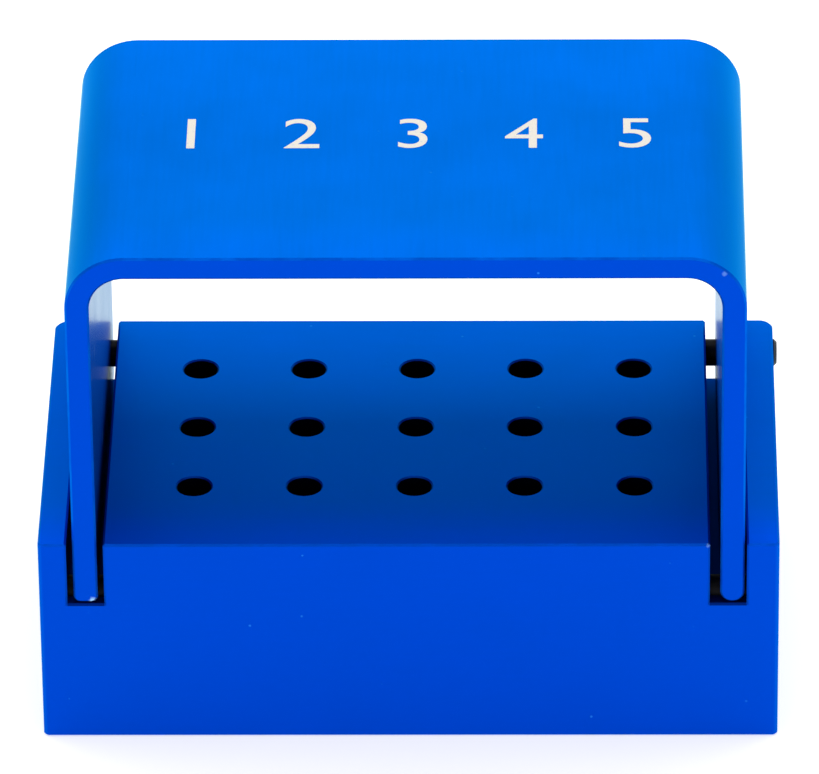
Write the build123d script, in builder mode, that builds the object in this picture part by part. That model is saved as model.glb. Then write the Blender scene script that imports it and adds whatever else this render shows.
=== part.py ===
from build123d import *
import os

# Bench block for dental burs with a hinged cover. Millimetres, +Z up, front at -Y.
# The origin is the middle of the block's underside.

# Block
block_width = 53.4
block_depth = 30.7
block_height = 16.6
front_corner_radius = 0.4
back_corner_radius = 1.0
edge_break = 0.15

# Bur holes: a square grid whose front row sits a fixed distance behind the front face
hole_columns = 5
hole_rows = 3
hole_pitch = 8.0
hole_bore = 2.5
hole_depth = 12.0
hole_rim_break = 0.12
drill_point_height = 0.75
front_row_margin = 7.85
grid_shift = 0.35

# Ears outside the slots, and the gaps beside each arm in its slot. The two slots are milled
# slightly left of the middle, so the left ear is the thinner one; ears and gaps are mean values
ear_width = 2.2
ear_gap = 0.3
inner_gap = 0.6
slot_depth = 5.1
slot_shift = -0.15

# Cover: one sheet bent into a bridge. Its right feet are rounded more than its left ones
sheet = 1.75
headroom = 22.3
bend_inner_radius = 2.5
left_foot_radius = 0.5
right_foot_radius = 0.85
floor_gap = 0.1
front_recess = 0.1
back_overhang = 0.3
open_angle = 112
swing_gap = 0.1

# Steel pins, all alike: two carry the cover, two more under its front corners are its stop
pin_diameter = 2.0
pin_bite = 3.15
pin_end_gap = 0.2
pin_chamfer = 0.2
hinge_from_back = 2.1
hinge_below_top = 1.6
right_pin_stand = 0.3
stop_from_front = 2.1
running_gap = 0.08
stop_gap = 0.12

# Places worked out from the sizes above
half_width = block_width / 2
front_y = -block_depth / 2
back_y = block_depth / 2
slot_width = ear_gap + sheet + inner_gap
slot_outer_x = half_width - ear_width
slot_middle_x = slot_outer_x - slot_width / 2
slot_inner_x = slot_outer_x - slot_width
slot_floor_z = block_height - slot_depth
hinge_y = back_y - hinge_from_back
hinge_z = block_height - hinge_below_top
stop_y = front_y + stop_from_front
stop_z = slot_floor_z
pin_radius = pin_diameter / 2
pin_length = ear_width + slot_width + pin_bite
pin_hole_depth = pin_length + pin_end_gap
grid_middle_y = front_y + front_row_margin + (hole_rows - 1) * hole_pitch / 2

cover_half_width = slot_outer_x - ear_gap
cover_inside_half_width = cover_half_width - sheet
web_underside_z = block_height + headroom
web_top_z = web_underside_z + sheet
foot_z = slot_floor_z + floor_gap
cover_front_y = front_y + front_recess
cover_back_y = back_y + back_overhang
cover_depth = cover_back_y - cover_front_y
heel_radius = hinge_z - foot_z
reach_behind_hinge = cover_back_y - hinge_y

os.makedirs("parts", exist_ok=True)


# Shape that one drilled hole takes away: broken rim, straight bore and drill point
with BuildPart() as drilled_hole:
    with BuildSketch(Plane.XZ) as half_section:
        with BuildLine():
            Polyline(
                (0, 0),
                (hole_bore / 2 + hole_rim_break, 0),
                (hole_bore / 2, -hole_rim_break),
                (hole_bore / 2, -hole_depth),
                (0, -hole_depth - drill_point_height),
                close=True,
            )
        make_face()
    revolve(axis=Axis.Z)


# Block, machined from one bar
with BuildPart() as base_block:
    Box(block_width, block_depth, block_height, align=(Align.CENTER, Align.CENTER, Align.MIN))
    front_corner_edges = base_block.edges().filter_by(Axis.Z).group_by(Axis.Y)[0]
    fillet(front_corner_edges, front_corner_radius)
    back_corner_edges = base_block.edges().filter_by(Axis.Z).group_by(Axis.Y)[-1]
    fillet(back_corner_edges, back_corner_radius)

    # Slots right through from front to back, leaving a thin ear outside each
    for side in (-1, 1):
        with Locations((slot_shift + side * slot_middle_x, 0, block_height)):
            Box(
                slot_width,
                block_depth,
                slot_depth,
                align=(Align.CENTER, Align.CENTER, Align.MAX),
                mode=Mode.SUBTRACT,
            )

    # Every outer edge is broken; the two inside corners of each slot stay sharp
    slot_corners = base_block.edges().filter_by(Axis.Y).filter_by_position(
        Axis.Z, slot_floor_z - edge_break, slot_floor_z + edge_break
    )
    smooth_seams = base_block.faces().filter_by(GeomType.CYLINDER).edges().filter_by(GeomType.LINE)
    chamfer(base_block.edges() - slot_corners - smooth_seams, edge_break)

    # The laid-back arms clear the back ends of the slot floors; shallower slots are cut away there
    for side in (-1, 1):
        with BuildSketch(Plane.YZ.offset(slot_shift + side * slot_inner_x)):
            with Locations((hinge_y, hinge_z)):
                Rectangle(
                    block_depth,
                    reach_behind_hinge + swing_gap,
                    rotation=90 - open_angle,
                    align=(Align.MIN, Align.MAX),
                )
        extrude(amount=side * slot_width, mode=Mode.SUBTRACT)

    # Bur holes, drilled from the top
    with Locations((grid_shift, grid_middle_y, block_height)):
        with GridLocations(hole_pitch, hole_pitch, hole_columns, hole_rows):
            add(drilled_hole.part, mode=Mode.SUBTRACT)

    # Cross holes for the pins, drilled in from both sides
    for seat_y, seat_z in ((hinge_y, hinge_z), (stop_y, stop_z)):
        for side in (-1, 1):
            with BuildSketch(Plane.YZ.offset(side * half_width)):
                with Locations((seat_y, seat_z)):
                    Circle(pin_radius)
            extrude(amount=-side * pin_hole_depth, mode=Mode.SUBTRACT)
base_block.part.label = "base_block"


# Cover, bent from one strip; its section is a bridge, and its feet are rounded
with BuildPart() as cover:
    with BuildSketch(Plane.XZ.offset(-cover_back_y)) as bridge_section:
        with BuildLine():
            outer_radius = bend_inner_radius + sheet
            FilletPolyline(
                (-cover_half_width, foot_z),
                (-cover_half_width, web_top_z),
                (cover_half_width, web_top_z),
                (cover_half_width, foot_z),
                (cover_inside_half_width, foot_z),
                (cover_inside_half_width, web_underside_z),
                (-cover_inside_half_width, web_underside_z),
                (-cover_inside_half_width, foot_z),
                radius=[
                    left_foot_radius,
                    outer_radius,
                    outer_radius,
                    right_foot_radius,
                    right_foot_radius,
                    bend_inner_radius,
                    bend_inner_radius,
                    left_foot_radius,
                ],
                close=True,
            )
        make_face()
    extrude(amount=cover_depth)
    rim_edges = cover.faces().filter_by(Axis.Y).edges()
    chamfer(rim_edges, edge_break)

    # Heel: the back lower corner is cut round the hinge, so that it clears the slot floor
    with BuildSketch(Plane.YZ) as heel_waste:
        with Locations((hinge_y, hinge_z)):
            Rectangle(2 * heel_radius, 2 * heel_radius, align=(Align.MIN, Align.MAX))
            Circle(heel_radius, mode=Mode.SUBTRACT)
    extrude(amount=half_width, both=True, mode=Mode.SUBTRACT)

    # Hinge holes, and the notches that come down over the stop pins
    with BuildSketch(Plane.YZ) as pin_clearances:
        with Locations((hinge_y, hinge_z)):
            Circle(pin_radius + running_gap)
        with Locations((stop_y, stop_z)):
            Circle(pin_radius + stop_gap)
    extrude(amount=half_width, both=True, mode=Mode.SUBTRACT)
cover.part.label = "cover"


# Pins, pressed in from the sides; only the right hinge pin stands out of its ear
pin_seats = {
    "left_hinge_pin": (-1, hinge_y, hinge_z, 0.0),
    "right_hinge_pin": (1, hinge_y, hinge_z, right_pin_stand),
    "left_stop_pin": (-1, stop_y, stop_z, 0.0),
    "right_stop_pin": (1, stop_y, stop_z, 0.0),
}
pins = {}
for pin_name, (side, pin_y, pin_z, stand) in pin_seats.items():
    with BuildPart() as pin:
        with BuildSketch(Plane.YZ.offset(side * (half_width + stand))):
            with Locations((pin_y, pin_z)):
                Circle(pin_radius)
        extrude(amount=-side * pin_length)
        chamfer(pin.edges().filter_by(GeomType.CIRCLE), pin_chamfer)
    pin.part.label = pin_name
    pins[pin_name] = pin.part


export_step(base_block.part, "parts/base_block.step")
export_step(cover.part, "parts/cover.step")
for pin_name, pin_part in pins.items():
    export_step(pin_part, f"parts/{pin_name}.step")
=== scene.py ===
"""Studio scene of a bench block for dental burs with a hinged cover.

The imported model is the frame: a drilled aluminium block, a cover bent from one strip and four steel
pins. This script gives each of them its finish, prints column numbers on the cover, and sets the
floor, lights and camera. Lengths are in metres unless a name says otherwise.
"""

import logging
import math
from dataclasses import dataclass
from enum import Enum

import bpy
from mathutils import Matrix, Vector

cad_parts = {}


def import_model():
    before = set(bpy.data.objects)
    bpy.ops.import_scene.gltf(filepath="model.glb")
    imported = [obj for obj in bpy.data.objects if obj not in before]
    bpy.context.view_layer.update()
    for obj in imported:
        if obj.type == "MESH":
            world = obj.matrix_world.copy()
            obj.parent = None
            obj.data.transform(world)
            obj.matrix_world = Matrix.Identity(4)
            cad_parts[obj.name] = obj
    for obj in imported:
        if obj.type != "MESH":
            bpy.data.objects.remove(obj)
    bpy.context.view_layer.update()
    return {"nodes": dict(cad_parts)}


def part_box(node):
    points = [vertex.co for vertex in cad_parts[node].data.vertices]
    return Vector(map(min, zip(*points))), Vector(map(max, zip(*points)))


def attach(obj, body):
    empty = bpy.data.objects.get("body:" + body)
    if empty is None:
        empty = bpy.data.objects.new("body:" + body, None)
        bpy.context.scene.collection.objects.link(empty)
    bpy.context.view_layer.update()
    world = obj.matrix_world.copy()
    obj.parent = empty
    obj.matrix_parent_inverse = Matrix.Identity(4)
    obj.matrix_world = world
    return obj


MM = 0.001
LOG = logging.getLogger("bur_block")

Colour = tuple[float, float, float]
Point = tuple[float, float, float]
Socket = bpy.types.NodeSocket
Value = Socket | float
Parts = bpy.types.bpy_prop_collection
WHITE = (1.0, 1.0, 1.0)


def from_screen(red: int, green: int, blue: int) -> Colour:
    """Turns a colour as a screen shows it into the linear one that a shader takes, by the sRGB curve.

    Args:
        red: Red, 0 to 255.
        green: Green, 0 to 255.
        blue: Blue, 0 to 255.

    Returns:
        The linear colour.
    """
    knee = 0.04045
    shares = [value / 255 for value in (red, green, blue)]
    return tuple(s / 12.92 if s <= knee else ((s + 0.055) / 1.055) ** 2.4 for s in shares)


@dataclass(frozen=True)
class Band:
    """A stretch of numbers over which something changes smoothly.

    Attributes:
        low: Where the change starts.
        high: Where it ends.
    """

    low: float
    high: float


@dataclass(frozen=True)
class Pattern:
    """One cloudy pattern of a finish.

    Attributes:
        size: The size of its patches.
        tone: How far it makes the colour lighter and darker.
        unevenness: How far it makes the surface rougher and smoother.
        relief: How strongly it shows in the relief.
        layers: How many finer layers it has.
    """

    size: float
    tone: float = 0.0
    unevenness: float = 0.0
    relief: float = 0.0
    layers: float = 2.0


class Graph:
    """A node tree, with short calls that add nodes and join their sockets."""

    def __init__(self, tree: bpy.types.NodeTree) -> None:
        """Keeps the tree and empties it.

        Args:
            tree: The node tree to fill.
        """
        self.tree = tree
        tree.nodes.clear()

    def add(self, kind: str, settings: dict | None = None, **inputs: object) -> bpy.types.Node:
        """Adds a node.

        Args:
            kind: The node's type name.
            settings: Its own properties, by name.
            **inputs: What goes into its inputs, by their names with _ for a space.

        Returns:
            The new node.
        """
        node = self.tree.nodes.new(kind)
        for name, value in (settings or {}).items():
            setattr(node, name, value)
        for name, value in inputs.items():
            self.feed(self.find(node, name.replace("_", " ")), value)
        return node

    def feed(self, entry: Socket, value: Value | Point | Colour) -> None:
        """Joins a socket to an input, or sets the input to a plain value.

        Args:
            entry: The input.
            value: A socket, a number, a place or a colour.
        """
        if isinstance(value, Socket):
            self.tree.links.new(value, entry)
        elif entry.type == "RGBA":
            entry.default_value = (*value, 1.0)
        else:
            entry.default_value = value

    @staticmethod
    def find(node: bpy.types.Node, name: str) -> Socket:
        """Finds an input by name, or by number when the name is written as in1, in2 and so on.

        Args:
            node: The node.
            name: The input's name, or its number.

        Returns:
            The input socket.
        """
        if name.startswith("in") and name[2:].isdigit():
            return node.inputs[int(name[2:])]
        return next(entry for entry in node.inputs if entry.name == name and entry.enabled)

    def math(self, operation: str, first: Value, second: Value = 0.0) -> Socket:
        """Adds one sum of two numbers and returns its result.

        Args:
            operation: The sum's name, such as MULTIPLY.
            first: A socket or a number.
            second: A socket or a number.

        Returns:
            The result's socket.
        """
        return self.add("ShaderNodeMath", {"operation": operation}, in0=first, in1=second).outputs[0]

    def vector(
        self, operation: str, first: Socket, second: Point = (0.0, 0.0, 0.0), **inputs: Value
    ) -> Socket:
        """Adds one sum of two places, directions or colours and returns its result.

        Args:
            operation: The sum's name, such as MULTIPLY.
            first: A socket.
            second: Three numbers.
            **inputs: Other inputs, by name.

        Returns:
            The result's socket.
        """
        settings = {"operation": operation}
        return self.add("ShaderNodeVectorMath", settings, in0=first, in1=second, **inputs).outputs[0]

    def apart(self, whole: Socket) -> Parts:
        """Takes a place, direction or colour apart.

        Args:
            whole: Its socket.

        Returns:
            The sockets of its three parts, by the names X, Y and Z.
        """
        return self.add("ShaderNodeSeparateXYZ", Vector=whole).outputs

    def around(self, average: float, *parts: tuple[Socket, float]) -> Socket:
        """Adds patterns to a number, which keeps its value on average.

        Args:
            average: The number.
            *parts: Each pattern's socket with its strength.

        Returns:
            The result's socket.
        """
        total = average - sum(strength for _, strength in parts) / 2
        for pattern, strength in parts:
            total = self.math("ADD", total, self.math("MULTIPLY", pattern, strength))
        return total

    def ramp(self, value: Socket, band: Band, to_low: float = 0.0, to_high: float = 1.0) -> Socket:
        """Maps a number from a band to a new range, smoothly and clamped.

        Args:
            value: The number's socket.
            band: The band.
            to_low: The result at its low end.
            to_high: The result at its high end.

        Returns:
            The result's socket.
        """
        node = self.add(
            "ShaderNodeMapRange",
            {"interpolation_type": "SMOOTHSTEP"},
            Value=value,
            From_Min=band.low,
            From_Max=band.high,
            To_Min=to_low,
            To_Max=to_high,
        )
        return node.outputs["Result"]

    def noise(self, place: Socket, pattern: Pattern) -> Socket:
        """Adds a cloudy pattern.

        Args:
            place: The socket of the place to read it at.
            pattern: Its sizes.

        Returns:
            The pattern's socket, about 0.5 on average.
        """
        scale = 1 / pattern.size
        return self.add("ShaderNodeTexNoise", Vector=place, Scale=scale, Detail=pattern.layers).outputs[0]

    def bump(self, height: Socket, strength: float, depth: float) -> Socket:
        """Turns heights into a bent facing direction.

        Args:
            height: The heights' socket, 0 to 1.
            strength: How strongly they show.
            depth: How deep the relief is.

        Returns:
            The socket of the bent facing direction.
        """
        return self.add("ShaderNodeBump", Strength=strength, Distance=depth, Height=height).outputs[0]

    def blend(self, share: Value, first: Socket | Colour, second: Socket | Colour) -> Socket:
        """Mixes two colours.

        Args:
            share: How much of the second there is, 0 to 1.
            first: A colour or its socket.
            second: A colour or its socket.

        Returns:
            The mixed colour's socket.
        """
        node = self.tree.nodes.new("ShaderNodeMix")
        node.data_type = "RGBA"
        entries = [entry for entry in node.inputs if entry.enabled]
        for entry, value in zip(entries, (share, first, second)):
            self.feed(entry, value)
        return next(result for result in node.outputs if result.enabled)


def new_material(name: str) -> tuple[bpy.types.Material, Graph]:
    """Makes a material with an empty node tree.

    Args:
        name: Its name.

    Returns:
        The material and its nodes.
    """
    material = bpy.data.materials.new(name)
    material.use_nodes = True
    return material, Graph(material.node_tree)


@dataclass(frozen=True)
class KnockGlint:
    """A small light spot on an edge: a knock to the bare metal, and a painted glint.

    Attributes:
        place: Its middle.
        size: Its radius.
        bareness: How bare the metal is in it, 0 to 1.
    """

    place: Point
    size: float
    bareness: float = 1.0


@dataclass(frozen=True)
class ShadedRecess:
    """A box round holes, a slot or the inside of a bend, whose surfaces are painted darker as shade.

    Attributes:
        low: Its lowest corner.
        high: Its highest corner.
        colour: The colour of every surface in it, a painted shade.
        edge_tint: What its reflections turn towards near an outline, where that differs.
    """

    low: Point
    high: Point
    colour: Colour
    edge_tint: Colour | None = None


class Grain(Enum):
    """Which way the fine lines of a rolled or milled surface run."""

    ACROSS = (0.04, 1.0, 1.0)
    DEEP = (1.0, 0.04, 1.0)


class BrokenEdge(Enum):
    """Which broken edges a piece has: those round its front and back faces, or all of them."""

    RIM = "rim"
    ALL = "all"


@dataclass(frozen=True)
class AnodisedAluminium:
    """Satin blue anodised aluminium.

    Attributes:
        name: The material's name.
        grain: Which way its fine lines run.
        edges: Which broken edges it has.
        front_lit_colour: Its colour on faces that look forward or back, with the hue of the front light
            painted in.
        top_lit_colour: Its colour on faces that look up or down, painted lighter and greener for the light
            from above.
        front_lit_top_colour: Its colour there close to the front edge, painted bluer for the light from
            the front.
        side_lit_colour: Its colour on faces that look sideways, painted lighter for the light from the
            sides.
        nicks: Knocks on its edges, which also stand in as painted glints.
        shaded_recesses: The parts of it that are painted darker as shade.
        roughness: How rough it is on average.
        skimmed_roughness: How rough it looks where it is seen almost along its surface.
        grazing: How far along its surface it is seen, 0 to 1, where it goes from one to the other.
        edge_tint: What its reflections turn towards near its outline.
        rubbed_edge_highlight_colour: Its colour on broken edges, where they are rubbed thin and where a
            painted highlight lies.
        bare_glint_colour: The light colour in the knocks, the metal's own colour and a painted glint.
        speck_colour: The colour of the fine specks in the finish.
        upward: How far a face looks up or down where the painted top light takes over.
        sideways: How far it looks sideways where the painted side light takes over.
        half_depth: How far forward and back of its middle the piece reaches.
        back_light_lift: How much lighter the colour is painted at the back edge than in the middle, as
            painted light from behind.
        near_reach: How far from the front edge the painted front light on the top reaches.
        lines: The fine parallel lines of rolling or milling.
        clouds: The wide soft patches of the dye.
        pits: The finest grain, which only shows in the relief.
        wear: The patches in which the edges are rubbed.
        wear_band: Where in that pattern the rubbing grows.
        least_wear: How far an edge is rubbed between the patches.
        most_wear: How far it is rubbed in them.
        rubbed_smooth: How much smoother a rubbed edge is.
        rim_start: How far a rim's edge looks forward or back where it begins.
        rim_end: How far it looks forward or back where it ends.
        slant: How large a facing direction's largest part is where a broken edge ends.
        speck_spacing: How far apart the specks could lie.
        speck_size: A speck's clear middle and its outer end, in spacings.
        speck_chance: Where in a draw from 0 to 1 the specks begin and where they are strongest.
        speck_strength: How clearly the strongest speck shows.
        ragged: The pattern that frays a knock's outline.
        fraying: How strongly it does that.
        nick_end: Where a knock ends, in its radii.
        bump_strength: How strongly the relief shows.
        bump_depth: How deep it is.
    """

    name: str
    grain: Grain
    edges: BrokenEdge
    front_lit_colour: Colour
    top_lit_colour: Colour
    front_lit_top_colour: Colour
    side_lit_colour: Colour
    nicks: tuple[KnockGlint, ...] = ()
    shaded_recesses: tuple[ShadedRecess, ...] = ()
    roughness: float = 0.5
    skimmed_roughness: float = 0.24
    grazing: Band = Band(0.86, 0.965)
    edge_tint: Colour = (0.3, 0.85, 0.72)
    rubbed_edge_highlight_colour: Colour = from_screen(1, 80, 208)
    bare_glint_colour: Colour = from_screen(160, 208, 250)
    speck_colour: Colour = from_screen(45, 140, 240)
    upward: Band = Band(0.15, 0.95)
    sideways: Band = Band(0.1, 0.9)
    half_depth: float = 15.5 * MM
    back_light_lift: float = 0.12
    near_reach: float = 7.0 * MM
    lines: Pattern = Pattern(size=0.22 * MM, tone=0.07, unevenness=0.06, relief=0.4, layers=4.0)
    clouds: Pattern = Pattern(size=7 * MM, tone=0.12, unevenness=0.10)
    pits: Pattern = Pattern(size=0.11 * MM, relief=0.6, layers=3.0)
    wear: Pattern = Pattern(size=1.6 * MM)
    wear_band: Band = Band(0.35, 0.65)
    least_wear: float = 0.25
    most_wear: float = 0.8
    rubbed_smooth: float = 0.06
    rim_start: Band = Band(0.25, 0.6)
    rim_end: Band = Band(0.8, 0.98)
    slant: Band = Band(0.75, 0.95)
    speck_spacing: float = 1.9 * MM
    speck_size: Band = Band(0.03, 0.075)
    speck_chance: Band = Band(0.72, 1.0)
    speck_strength: float = 0.6
    ragged: Pattern = Pattern(size=0.25 * MM)
    fraying: float = 0.8
    nick_end: Band = Band(0.8, 1.4)
    bump_strength: float = 0.5
    bump_depth: float = 0.004 * MM

    def make(self) -> bpy.types.Material:
        """Makes the material.

        Returns:
            The new material.
        """
        material, graph = new_material(self.name)
        spot = graph.add("ShaderNodeTexCoord")
        place = spot.outputs["Object"]
        depth = graph.apart(place)["Y"]
        facing = graph.apart(spot.outputs["Normal"])
        lines = self.fine_lines(graph, place)
        clouds = graph.noise(place, self.clouds)
        worn = self.wear_and_highlight_share(graph, place, facing)

        tone = graph.around(1.0, (lines, self.lines.tone), (clouds, self.clouds.tone))
        # Painted light: the colour grows lighter towards the back, where light from behind falls.
        painted_back_light = graph.ramp(depth, Band(0.0, self.half_depth), 0.0, self.back_light_lift)
        # Painted light: each face takes the colour of the way it is lit.
        colour = self.facing_light_colour(graph, facing, depth)
        colour = graph.vector("SCALE", colour, Scale=graph.math("ADD", tone, painted_back_light))
        colour = graph.blend(self.speck_share(graph, place), colour, self.speck_colour)
        # Rubbed edges, and also a painted highlight along the broken edges.
        colour = graph.blend(worn, colour, self.rubbed_edge_highlight_colour)
        tint = self.edge_tint
        # Painted shade: surfaces inside the recesses take a darker colour.
        for recess in self.shaded_recesses:
            share = self.recess_shade_share(graph, place, recess)
            colour = graph.blend(share, colour, recess.colour)
            if recess.edge_tint is not None:
                tint = graph.blend(share, tint, recess.edge_tint)
        # Bare metal in the knocks, which also stand in as painted glints.
        colour = graph.blend(self.nick_glint_share(graph, place), colour, self.bare_glint_colour)

        shader = graph.add(
            "ShaderNodeBsdfPrincipled",
            Base_Color=colour,
            Metallic=1.0,
            Roughness=self.uneven_roughness(graph, lines, clouds, worn),
            Specular_Tint=tint,
            Normal=self.relief(graph, place, lines),
        )
        graph.add("ShaderNodeOutputMaterial", Surface=shader.outputs["BSDF"])
        return material

    def facing_light_colour(self, graph: Graph, facing: Parts, depth: Socket) -> Socket:
        """Paints light into the colour by the way a surface faces, and near the front edge by its depth.

        Args:
            graph: The material's nodes.
            facing: The three parts of the facing direction.
            depth: The socket of the place from front to back.

        Returns:
            The colour's socket.
        """
        # Painted light: tops get the lighter hue of the light from above, the front edge the hue of the
        # front light, flanks that of the side light.
        reach = Band(-self.half_depth, self.near_reach - self.half_depth)
        near = graph.ramp(depth, reach, 1.0, 0.0)
        top = graph.blend(near, self.top_lit_colour, self.front_lit_top_colour)
        level = graph.ramp(graph.math("ABSOLUTE", facing["Z"]), self.upward)
        colour = graph.blend(level, self.front_lit_colour, top)
        flank = graph.ramp(graph.math("ABSOLUTE", facing["X"]), self.sideways)
        return graph.blend(flank, colour, self.side_lit_colour)

    def uneven_roughness(self, graph: Graph, lines: Socket, clouds: Socket, worn: Socket) -> Socket:
        """Works out how rough each spot is, smoother on rubbed edges and seen along the surface.

        Args:
            graph: The material's nodes.
            lines: The socket of the fine lines.
            clouds: The socket of the dye's patches.
            worn: The socket of how far an edge is rubbed.

        Returns:
            The roughness's socket.
        """
        parts = ((clouds, self.clouds.unevenness), (lines, self.lines.unevenness))
        rough = graph.around(self.roughness, *parts)
        rough = graph.math("SUBTRACT", rough, graph.math("MULTIPLY", worn, self.rubbed_smooth))
        skimmed = graph.add("ShaderNodeLayerWeight", Blend=0.5).outputs["Facing"]
        gloss = graph.ramp(skimmed, self.grazing, 0.0, self.roughness - self.skimmed_roughness)
        return graph.math("SUBTRACT", rough, gloss)

    def relief(self, graph: Graph, place: Socket, lines: Socket) -> Socket:
        """Gives the surface the relief of its finest grain and of its lines.

        Args:
            graph: The material's nodes.
            place: The socket of the place.
            lines: The socket of the fine lines.

        Returns:
            The socket of the bent facing direction.
        """
        grained = graph.math("MULTIPLY", graph.noise(place, self.pits), self.pits.relief)
        lined = graph.math("MULTIPLY", lines, self.lines.relief)
        return graph.bump(graph.math("ADD", grained, lined), self.bump_strength, self.bump_depth)

    def fine_lines(self, graph: Graph, place: Socket) -> Socket:
        """Adds the fine parallel lines of rolling or milling.

        Args:
            graph: The material's nodes.
            place: The socket of the place.

        Returns:
            The pattern's socket.
        """
        return graph.noise(graph.vector("MULTIPLY", place, self.grain.value), self.lines)

    def speck_share(self, graph: Graph, place: Socket) -> Socket:
        """Scatters a few fine light specks.

        Args:
            graph: The material's nodes.
            place: The socket of the place.

        Returns:
            A socket that is above 0 in a speck.
        """
        cells = graph.add("ShaderNodeTexVoronoi", Vector=place, Scale=1 / self.speck_spacing)
        middle = graph.ramp(cells.outputs["Distance"], self.speck_size, 1.0, 0.0)
        chance = graph.apart(cells.outputs["Color"])["X"]
        strength = graph.ramp(chance, self.speck_chance, 0.0, self.speck_strength)
        return graph.math("MULTIPLY", middle, strength)

    def wear_and_highlight_share(self, graph: Graph, place: Socket, facing: Parts) -> Socket:
        """Works out how far the broken edges are rubbed and painted with a highlight, from patch to patch.

        Args:
            graph: The material's nodes.
            place: The socket of the place.
            facing: The three parts of the facing direction.

        Returns:
            A socket that is above 0 on a broken edge and 0 beside it.
        """
        patches = graph.noise(place, self.wear)
        rubbed = graph.ramp(patches, self.wear_band, self.least_wear, self.most_wear)
        return graph.math("MULTIPLY", self.edge_share(graph, facing), rubbed)

    def edge_share(self, graph: Graph, facing: Parts) -> Socket:
        """Finds the narrow slanted faces of the broken edges by the way they face.

        Args:
            graph: The material's nodes.
            facing: The three parts of the facing direction.

        Returns:
            A socket that is 1 on a broken edge and 0 beside it.
        """
        if self.edges is BrokenEdge.RIM:
            outward = graph.math("ABSOLUTE", facing["Y"])
            start = graph.ramp(outward, self.rim_start)
            return graph.math("MULTIPLY", start, graph.ramp(outward, self.rim_end, 1.0, 0.0))
        parts = [graph.math("ABSOLUTE", facing[axis]) for axis in "XYZ"]
        largest = graph.math("MAXIMUM", graph.math("MAXIMUM", parts[0], parts[1]), parts[2])
        return graph.ramp(largest, self.slant, 1.0, 0.0)

    @staticmethod
    def recess_shade_share(graph: Graph, place: Socket, recess: ShadedRecess) -> Socket:
        """Finds the surfaces inside one recess, which take the painted shade.

        Args:
            graph: The material's nodes.
            place: The socket of the place.
            recess: The recess.

        Returns:
            A socket that is 1 in the recess and 0 outside.
        """
        parts = graph.apart(place)
        share = 1.0
        for axis, low, high in zip("XYZ", recess.low, recess.high):
            above = graph.math("GREATER_THAN", parts[axis], low)
            below = graph.math("LESS_THAN", parts[axis], high)
            share = graph.math("MULTIPLY", share, graph.math("MULTIPLY", above, below))
        return share

    def nick_glint_share(self, graph: Graph, place: Socket) -> Value:
        """Finds the knocks on the edges, with ragged outlines, which are also painted glints.

        Args:
            graph: The material's nodes.
            place: The socket of the place.

        Returns:
            A socket that is above 0 where bare metal and the painted glint show, or plain 0 when there is
            no knock.
        """
        ragged = graph.math("MULTIPLY", graph.noise(place, self.ragged), self.fraying)
        share = 0.0
        for nick in self.nicks:
            away = graph.add("ShaderNodeVectorMath", {"operation": "DISTANCE"}, in0=place, in1=nick.place)
            radii = graph.math("DIVIDE", away.outputs["Value"], nick.size)
            bare = graph.ramp(graph.math("ADD", radii, ragged), self.nick_end, nick.bareness, 0.0)
            share = graph.math("MAXIMUM", share, bare)
        return share


@dataclass(frozen=True)
class BlackenedSteel:
    """Blackened steel pin stock, ground round and worn brighter at its ends.

    Attributes:
        name: The material's name.
        colour: Its colour.
        worn_colour: Its colour where the black is rubbed thin.
        metallic: How far the metal shows through the black.
        roughness: How rough it is on average.
        rings: How the grinding marks are drawn out round the pin.
        ground: The grinding marks.
        mottle: The patches in which the black is rubbed.
        rubbed: Where in that pattern the rubbing grows.
        least_rubbed: How far it is rubbed between the patches.
        end_start: How far the broken edge of a pin's end looks sideways where it begins.
        end_stop: How far it looks sideways where it ends.
        bump_strength: How strongly the relief shows.
        bump_depth: How deep it is.
    """

    name: str
    colour: Colour = from_screen(8, 7, 10)
    worn_colour: Colour = from_screen(52, 60, 68)
    metallic: float = 0.7
    roughness: float = 0.5
    rings: Point = (1.0, 0.03, 0.03)
    ground: Pattern = Pattern(size=0.06 * MM, unevenness=0.2, layers=3.0)
    mottle: Pattern = Pattern(size=0.5 * MM, layers=3.0)
    rubbed: Band = Band(0.35, 0.6)
    least_rubbed: float = 0.3
    end_start: Band = Band(0.3, 0.6)
    end_stop: Band = Band(0.8, 0.97)
    bump_strength: float = 0.4
    bump_depth: float = 0.003 * MM

    def make(self) -> bpy.types.Material:
        """Makes the material.

        Returns:
            The new material.
        """
        material, graph = new_material(self.name)
        spot = graph.add("ShaderNodeTexCoord")
        place = spot.outputs["Object"]
        ground = graph.noise(graph.vector("MULTIPLY", place, self.rings), self.ground)
        sideways = graph.math("ABSOLUTE", graph.apart(spot.outputs["Normal"])["X"])
        start = graph.ramp(sideways, self.end_start)
        edge = graph.math("MULTIPLY", start, graph.ramp(sideways, self.end_stop, 1.0, 0.0))
        patches = graph.ramp(graph.noise(place, self.mottle), self.rubbed, self.least_rubbed, 1.0)
        shader = graph.add(
            "ShaderNodeBsdfPrincipled",
            Base_Color=graph.blend(graph.math("MULTIPLY", edge, patches), self.colour, self.worn_colour),
            Metallic=self.metallic,
            Roughness=graph.around(self.roughness, (ground, self.ground.unevenness)),
            Normal=graph.bump(ground, self.bump_strength, self.bump_depth),
        )
        graph.add("ShaderNodeOutputMaterial", Surface=shader.outputs["BSDF"])
        return material


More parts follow.
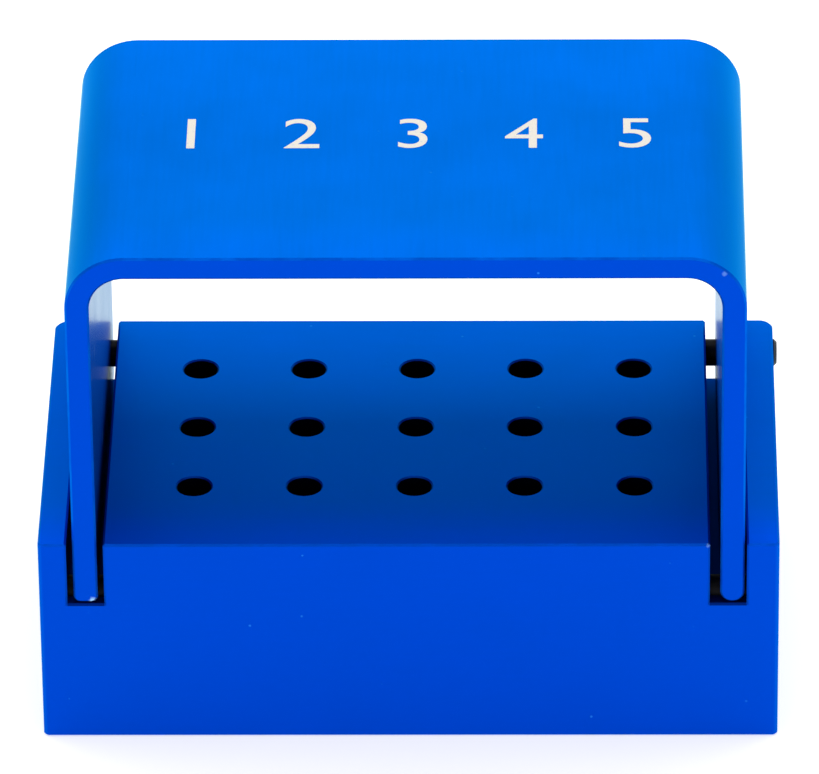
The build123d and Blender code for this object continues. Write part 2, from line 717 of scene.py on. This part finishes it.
@dataclass(frozen=True)
class PrintInk:
    """White pad-printing ink, a thin even film with a faint texture.

    Attributes:
        name: The material's name.
        colour: Its colour.
        thin_colour: Its colour where the film is thin and the blue shows through.
        roughness: How rough it is on average.
        film: The pattern in which the film is thick and thin.
        thin: Where in that pattern the film gets thin.
        bump_strength: How strongly the relief shows.
        bump_depth: How deep it is.
    """

    name: str
    colour: Colour = from_screen(222, 217, 206)
    thin_colour: Colour = from_screen(190, 200, 212)
    roughness: float = 0.5
    film: Pattern = Pattern(size=0.35 * MM, unevenness=0.2, layers=3.0)
    thin: Band = Band(0.55, 0.8)
    bump_strength: float = 0.3
    bump_depth: float = 0.003 * MM

    def make(self) -> bpy.types.Material:
        """Makes the material.

        Returns:
            The new material.
        """
        material, graph = new_material(self.name)
        place = graph.add("ShaderNodeTexCoord").outputs["Object"]
        film = graph.noise(place, self.film)
        shader = graph.add(
            "ShaderNodeBsdfPrincipled",
            Base_Color=graph.blend(graph.ramp(film, self.thin), self.colour, self.thin_colour),
            Roughness=graph.around(self.roughness, (film, self.film.unevenness)),
            Normal=graph.bump(film, self.bump_strength, self.bump_depth),
        )
        graph.add("ShaderNodeOutputMaterial", Surface=shader.outputs["BSDF"])
        return material


def dress(piece: bpy.types.Object, material: bpy.types.Material) -> None:
    """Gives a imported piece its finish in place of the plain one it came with.

    Args:
        piece: The piece.
        material: The finish.
    """
    piece.data.materials.clear()
    piece.data.materials.append(material)
    LOG.info("%s is dressed in %s", piece.name, material.name)


@dataclass
class Block:
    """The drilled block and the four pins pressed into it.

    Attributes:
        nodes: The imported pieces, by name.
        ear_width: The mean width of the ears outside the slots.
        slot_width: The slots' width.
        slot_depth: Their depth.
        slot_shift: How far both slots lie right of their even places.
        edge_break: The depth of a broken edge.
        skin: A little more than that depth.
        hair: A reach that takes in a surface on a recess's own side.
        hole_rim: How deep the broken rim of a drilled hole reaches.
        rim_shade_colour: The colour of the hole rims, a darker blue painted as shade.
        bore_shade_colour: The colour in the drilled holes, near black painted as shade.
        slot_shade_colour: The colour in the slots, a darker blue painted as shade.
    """

    nodes: dict[str, bpy.types.Object]
    ear_width: float = 2.2 * MM
    slot_width: float = 2.65 * MM
    slot_depth: float = 5.1 * MM
    slot_shift: float = -0.15 * MM
    edge_break: float = 0.15 * MM
    skin: float = 0.16 * MM
    hair: float = 0.01 * MM
    hole_rim: float = 0.11 * MM
    rim_shade_colour: Colour = from_screen(0, 66, 170)
    bore_shade_colour: Colour = from_screen(2, 9, 38)
    slot_shade_colour: Colour = from_screen(0, 43, 138)

    def dress_block(self) -> None:
        """Gives the block its anodised finish, with shade painted dark in the drilled holes and the slots.
        """
        low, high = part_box("base_block")
        slot_room = self.ear_width + self.slot_width
        right_wall = high.x - slot_room + self.slot_shift
        inner = (low.x + slot_room, low.y + self.skin, low.z + self.skin)
        outer = (right_wall - self.skin, high.y - self.skin)
        # Painted shade: the hole rims and the holes are coloured darker.
        shaded_recesses = [
            ShadedRecess(low=inner, high=(*outer, high.z - self.hair), colour=self.rim_shade_colour),
            ShadedRecess(low=inner, high=(*outer, high.z - self.hole_rim), colour=self.bore_shade_colour),
        ]
        # Painted shade in the two slots.
        for wall in (low.x + self.ear_width + self.slot_shift, right_wall):
            shaded_recesses.append(
                ShadedRecess(
                    low=(wall - self.hair, low.y, high.z - self.slot_depth - self.edge_break),
                    high=(wall + self.slot_width + self.hair, high.y, high.z - self.skin),
                    colour=self.slot_shade_colour,
                )
            )
        # A light spot on the corner: a knock, and a painted glint.
        corner = KnockGlint(place=(right_wall, low.y, high.z), size=0.38 * MM, bareness=0.4)
        finish = AnodisedAluminium(
            name="blue_anodised_bar",
            grain=Grain.ACROSS,
            edges=BrokenEdge.ALL,
            # Painted light: these colours make the tops lighter, the front edge bluer and the flanks
            # lighter.
            front_lit_colour=from_screen(0, 72, 204),
            top_lit_colour=from_screen(0, 97, 215),
            front_lit_top_colour=from_screen(0, 93, 240),
            side_lit_colour=from_screen(0, 92, 212),
            nicks=(corner,),
            shaded_recesses=tuple(shaded_recesses),
        )
        dress(self.nodes["base_block"], finish.make())

    def dress_pins(self) -> None:
        """Gives the four pins one finish."""
        steel = BlackenedSteel(name="black_pin_steel").make()
        for name in ("left_hinge_pin", "right_hinge_pin", "left_stop_pin", "right_stop_pin"):
            dress(self.nodes[name], steel)


@dataclass
class Cover:
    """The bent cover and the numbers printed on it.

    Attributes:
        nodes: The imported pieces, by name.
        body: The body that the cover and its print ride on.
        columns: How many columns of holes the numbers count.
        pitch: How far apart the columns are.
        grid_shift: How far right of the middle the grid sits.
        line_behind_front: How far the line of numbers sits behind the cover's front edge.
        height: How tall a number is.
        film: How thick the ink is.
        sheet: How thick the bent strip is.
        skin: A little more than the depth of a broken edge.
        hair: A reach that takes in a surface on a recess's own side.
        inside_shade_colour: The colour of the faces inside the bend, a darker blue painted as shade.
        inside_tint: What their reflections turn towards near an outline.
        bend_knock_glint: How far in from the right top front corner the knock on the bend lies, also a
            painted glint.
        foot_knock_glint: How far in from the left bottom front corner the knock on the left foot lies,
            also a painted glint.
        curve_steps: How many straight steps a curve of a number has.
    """

    nodes: dict[str, bpy.types.Object]
    body: str = "cover"
    columns: int = 5
    pitch: float = 8.0 * MM
    grid_shift: float = 0.35 * MM
    line_behind_front: float = 17.3 * MM
    height: float = 4.1 * MM
    film: float = 0.012 * MM
    sheet: float = 1.75 * MM
    skin: float = 0.16 * MM
    hair: float = 0.01 * MM
    inside_shade_colour: Colour = from_screen(0, 84, 176)
    inside_tint: Colour = (0.7, 0.95, 0.9)
    bend_knock_glint: Point = (-1.64 * MM, 0.0, -1.3 * MM)
    foot_knock_glint: Point = (1.4 * MM, 0.1 * MM, 0.12 * MM)
    curve_steps: int = 6

    def dress_strip(self) -> None:
        """Gives the bent strip its anodised finish, with painted shade inside the bend."""
        low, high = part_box("cover")
        # Painted shade on the faces inside the bend.
        inside = ShadedRecess(
            low=(low.x + self.sheet - self.hair, low.y + self.skin, low.z),
            high=(high.x - self.sheet + self.hair, high.y - self.skin, high.z - self.sheet + self.hair),
            colour=self.inside_shade_colour,
            edge_tint=self.inside_tint,
        )
        # Light spots on the bend and the left foot: knocks, and painted glints.
        bend_corner = Vector((high.x, low.y, high.z))
        bend = KnockGlint(place=tuple(bend_corner + Vector(self.bend_knock_glint)), size=0.24 * MM, bareness=0.25)
        foot = KnockGlint(place=tuple(low + Vector(self.foot_knock_glint)), size=0.4 * MM)
        finish = AnodisedAluminium(
            name="blue_anodised_strip",
            grain=Grain.DEEP,
            edges=BrokenEdge.RIM,
            # Painted light: these colours make the tops lighter, the front edge bluer and the flanks
            # lighter.
            front_lit_colour=from_screen(0, 72, 204),
            top_lit_colour=from_screen(0, 116, 233),
            front_lit_top_colour=from_screen(0, 116, 242),
            side_lit_colour=from_screen(0, 112, 220),
            nicks=(bend, foot),
            shaded_recesses=(inside,),
        )
        dress(self.nodes["cover"], finish.make())

    def print_numbers(self) -> None:
        """Prints one number over each column of holes."""
        ink = PrintInk(name="white_print_ink").make()
        low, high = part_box("cover")
        for column in range(self.columns):
            x = self.grid_shift + (column - (self.columns - 1) / 2) * self.pitch
            number = self.number(column + 1, (x, low.y + self.line_behind_front, high.z))
            number.data.materials.append(ink)
            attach(number, self.body)
            LOG.info("%s is printed on the cover", number.name)

    def number(self, value: int, place: Point) -> bpy.types.Object:
        """Makes one number as a thin closed film of ink.

        Args:
            value: The number.
            place: Where its middle lies on the cover's top.

        Returns:
            The new piece.
        """
        outline = self.draw(value, size=1.0, thickness=0.0)
        xs = [vertex.co.x for vertex in outline.vertices]
        ys = [vertex.co.y for vertex in outline.vertices]
        bpy.data.meshes.remove(outline)
        scale = self.height / (max(ys) - min(ys))
        centre = Vector((max(xs) + min(xs), max(ys) + min(ys), 0.0)) / 2
        lift = Vector((0.0, 0.0, self.film / 2))

        name = f"column_number_{value}"
        mesh = self.draw(value, scale, self.film)
        mesh.transform(Matrix.Translation(Vector(place) - centre * scale + lift))
        mesh.name = name
        piece = bpy.data.objects.new(name, mesh)
        bpy.context.scene.collection.objects.link(piece)
        return piece

    def draw(self, value: int, size: float, thickness: float) -> bpy.types.Mesh:
        """Draws one number lying flat, starting at the origin.

        Args:
            value: The number.
            size: The size of its letter.
            thickness: How thick it is.

        Returns:
            The new mesh.
        """
        letters = bpy.data.curves.new("number", "FONT")
        letters.body = str(value)
        letters.size = size
        letters.resolution_u = self.curve_steps
        letters.extrude = thickness / 2
        shape = bpy.data.objects.new("number", letters)
        mesh = bpy.data.meshes.new_from_object(shape)
        bpy.data.objects.remove(shape)
        bpy.data.curves.remove(letters)
        return mesh


@dataclass(frozen=True)
class SoftBox:
    """A large soft lamp aimed at the object.

    Attributes:
        name: Its name.
        place: Where its middle stands.
        width: Its width.
        height: Its height.
        power: Its power in watts.
    """

    name: str
    place: Point
    width: float
    height: float
    power: float

    def make(self, target: Vector) -> None:
        """Adds the lamp.

        Args:
            target: The point it faces.
        """
        light = bpy.data.lights.new(self.name, "AREA")
        light.shape = "RECTANGLE"
        light.size = self.width
        light.size_y = self.height
        light.energy = self.power
        lamp = bpy.data.objects.new(self.name, light)
        lamp.location = self.place
        lamp.rotation_mode = "QUATERNION"
        lamp.rotation_quaternion = (target - Vector(self.place)).to_track_quat("-Z", "Y")
        lamp.visible_camera = False
        bpy.context.scene.collection.objects.link(lamp)
        LOG.info("%s is lit", self.name)


@dataclass
class Studio:
    """The pale floor, the white surroundings, the lamps and the camera.

    Attributes:
        floor_size: The floor's width and depth.
        floor_colour: Its colour.
        floor_lift: What is added to the floor as it is seen, straight or mirrored, so that it reads white.
        light_level: How bright the surroundings are overhead; at the horizon they are white.
        softening: The sines of the heights between which they go from white to that level.
        lamps: The lamps.
        target: The point that the camera's fit is measured at.
        distance: How far the camera is from it.
        azimuth: The camera's turn to the right, in degrees.
        elevation: The camera's height over the horizon, in degrees.
        roll: The camera's own tilt, in degrees.
        lens_mm: Its focal length.
        sensor_mm: Its sensor's width.
        nearest: How near the camera sees.
        farthest: How far it sees.
        frame_width: The picture's width in pixels.
        target_right: How many pixels right of the picture's middle the target lies.
        target_down: How many pixels below the picture's middle it lies.
    """

    floor_size: float = 6.0
    floor_colour: Colour = (0.74, 0.74, 0.74)
    floor_lift: float = 0.5
    light_level: float = 0.56
    softening: Band = Band(0.2, 0.4)
    lamps: tuple[SoftBox, ...] = (
        SoftBox("top_lamp", place=(0.0, 0.15, 0.75), width=1.4, height=0.6, power=5.2),
        SoftBox("front_lamp", place=(0.0, -0.60, 0.55), width=1.4, height=0.8, power=0.4),
    )
    target: Point = (0.35 * MM, 0.5 * MM, 16.6 * MM)
    distance: float = 721 * MM
    azimuth: float = 1.08
    elevation: float = 32.43
    roll: float = -0.65
    lens_mm: float = 432.7
    sensor_mm: float = 36.0
    nearest: float = 0.01
    farthest: float = 20.0
    frame_width: int = 819
    target_right: float = 6.4
    target_down: float = 39.6

    def lay_floor(self) -> None:
        """Lays the floor that the block stands on."""
        half = self.floor_size / 2
        mesh = bpy.data.meshes.new("floor")
        outline = [(-half, -half, 0), (half, -half, 0), (half, half, 0), (-half, half, 0)]
        mesh.from_pydata(outline, [], [(0, 1, 2, 3)])
        floor = bpy.data.objects.new("floor", mesh)
        bpy.context.scene.collection.objects.link(floor)
        material, graph = new_material("studio_floor")
        matt = graph.add("ShaderNodeBsdfDiffuse", Color=self.floor_colour)
        path = graph.add("ShaderNodeLightPath").outputs
        seen = graph.math("MAXIMUM", path["Is Camera Ray"], path["Is Glossy Ray"])
        seen = graph.math("MAXIMUM", seen, path["Is Transmission Ray"])
        glow = graph.add("ShaderNodeEmission", Strength=graph.math("MULTIPLY", seen, self.floor_lift))
        both = graph.add("ShaderNodeAddShader", in0=matt.outputs[0], in1=glow.outputs[0])
        graph.add("ShaderNodeOutputMaterial", Surface=both.outputs[0])
        floor.data.materials.append(material)

    def surround(self) -> None:
        """Makes the surroundings: white along the horizon, and an even softer light from above."""
        world = bpy.data.worlds.new("surroundings")
        world.use_nodes = True
        bpy.context.scene.world = world
        graph = Graph(world.node_tree)
        height = graph.apart(graph.add("ShaderNodeTexCoord").outputs["Generated"])["Z"]
        strength = graph.ramp(height, self.softening, 1.0, self.light_level)
        white = graph.add("ShaderNodeBackground", Color=WHITE, Strength=strength)
        graph.add("ShaderNodeOutputWorld", Surface=white.outputs[0])

    def light(self) -> None:
        """Sets up the lamps."""
        for lamp in self.lamps:
            lamp.make(Vector(self.target))

    def place_camera(self) -> None:
        """Places the camera where the photograph was taken from."""
        azimuth, elevation = math.radians(self.azimuth), math.radians(self.elevation)
        back = Vector(
            (
                math.sin(azimuth) * math.cos(elevation),
                -math.cos(azimuth) * math.cos(elevation),
                math.sin(elevation),
            )
        )
        level = Vector((0.0, 0.0, 1.0)).cross(back).normalized()
        upright = back.cross(level)
        tilt = math.radians(self.roll)
        right = level * math.cos(tilt) + upright * math.sin(tilt)
        up = upright * math.cos(tilt) - level * math.sin(tilt)
        focal = self.lens_mm / self.sensor_mm * self.frame_width
        spot = Vector(self.target) + back * self.distance
        aim = (
            Vector(self.target)
            - right * (self.target_right / focal * self.distance)
            + up * (self.target_down / focal * self.distance)
        )
        behind = (spot - aim).normalized()
        side = up.cross(behind).normalized()
        turn = Matrix((side, behind.cross(side), behind)).transposed()
        data = bpy.data.cameras.new("camera")
        data.lens = self.lens_mm
        data.sensor_width = self.sensor_mm
        data.clip_start = self.nearest
        data.clip_end = self.farthest
        camera = bpy.data.objects.new("camera", data)
        camera.matrix_world = Matrix.Translation(spot) @ turn.to_4x4()
        bpy.context.scene.collection.objects.link(camera)
        bpy.context.scene.camera = camera


def main() -> None:
    """Loads the frame, dresses every piece, prints the numbers and sets the studio."""
    logging.basicConfig(level=logging.INFO, format="%(name)s: %(message)s")
    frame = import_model()
    bpy.context.scene.view_settings.view_transform = "Standard"

    studio = Studio()
    studio.place_camera()
    studio.surround()
    studio.lay_floor()
    studio.light()

    block = Block(frame["nodes"])
    block.dress_block()
    block.dress_pins()

    cover = Cover(frame["nodes"])
    cover.dress_strip()
    cover.print_numbers()


if __name__ == "__main__":
    main()
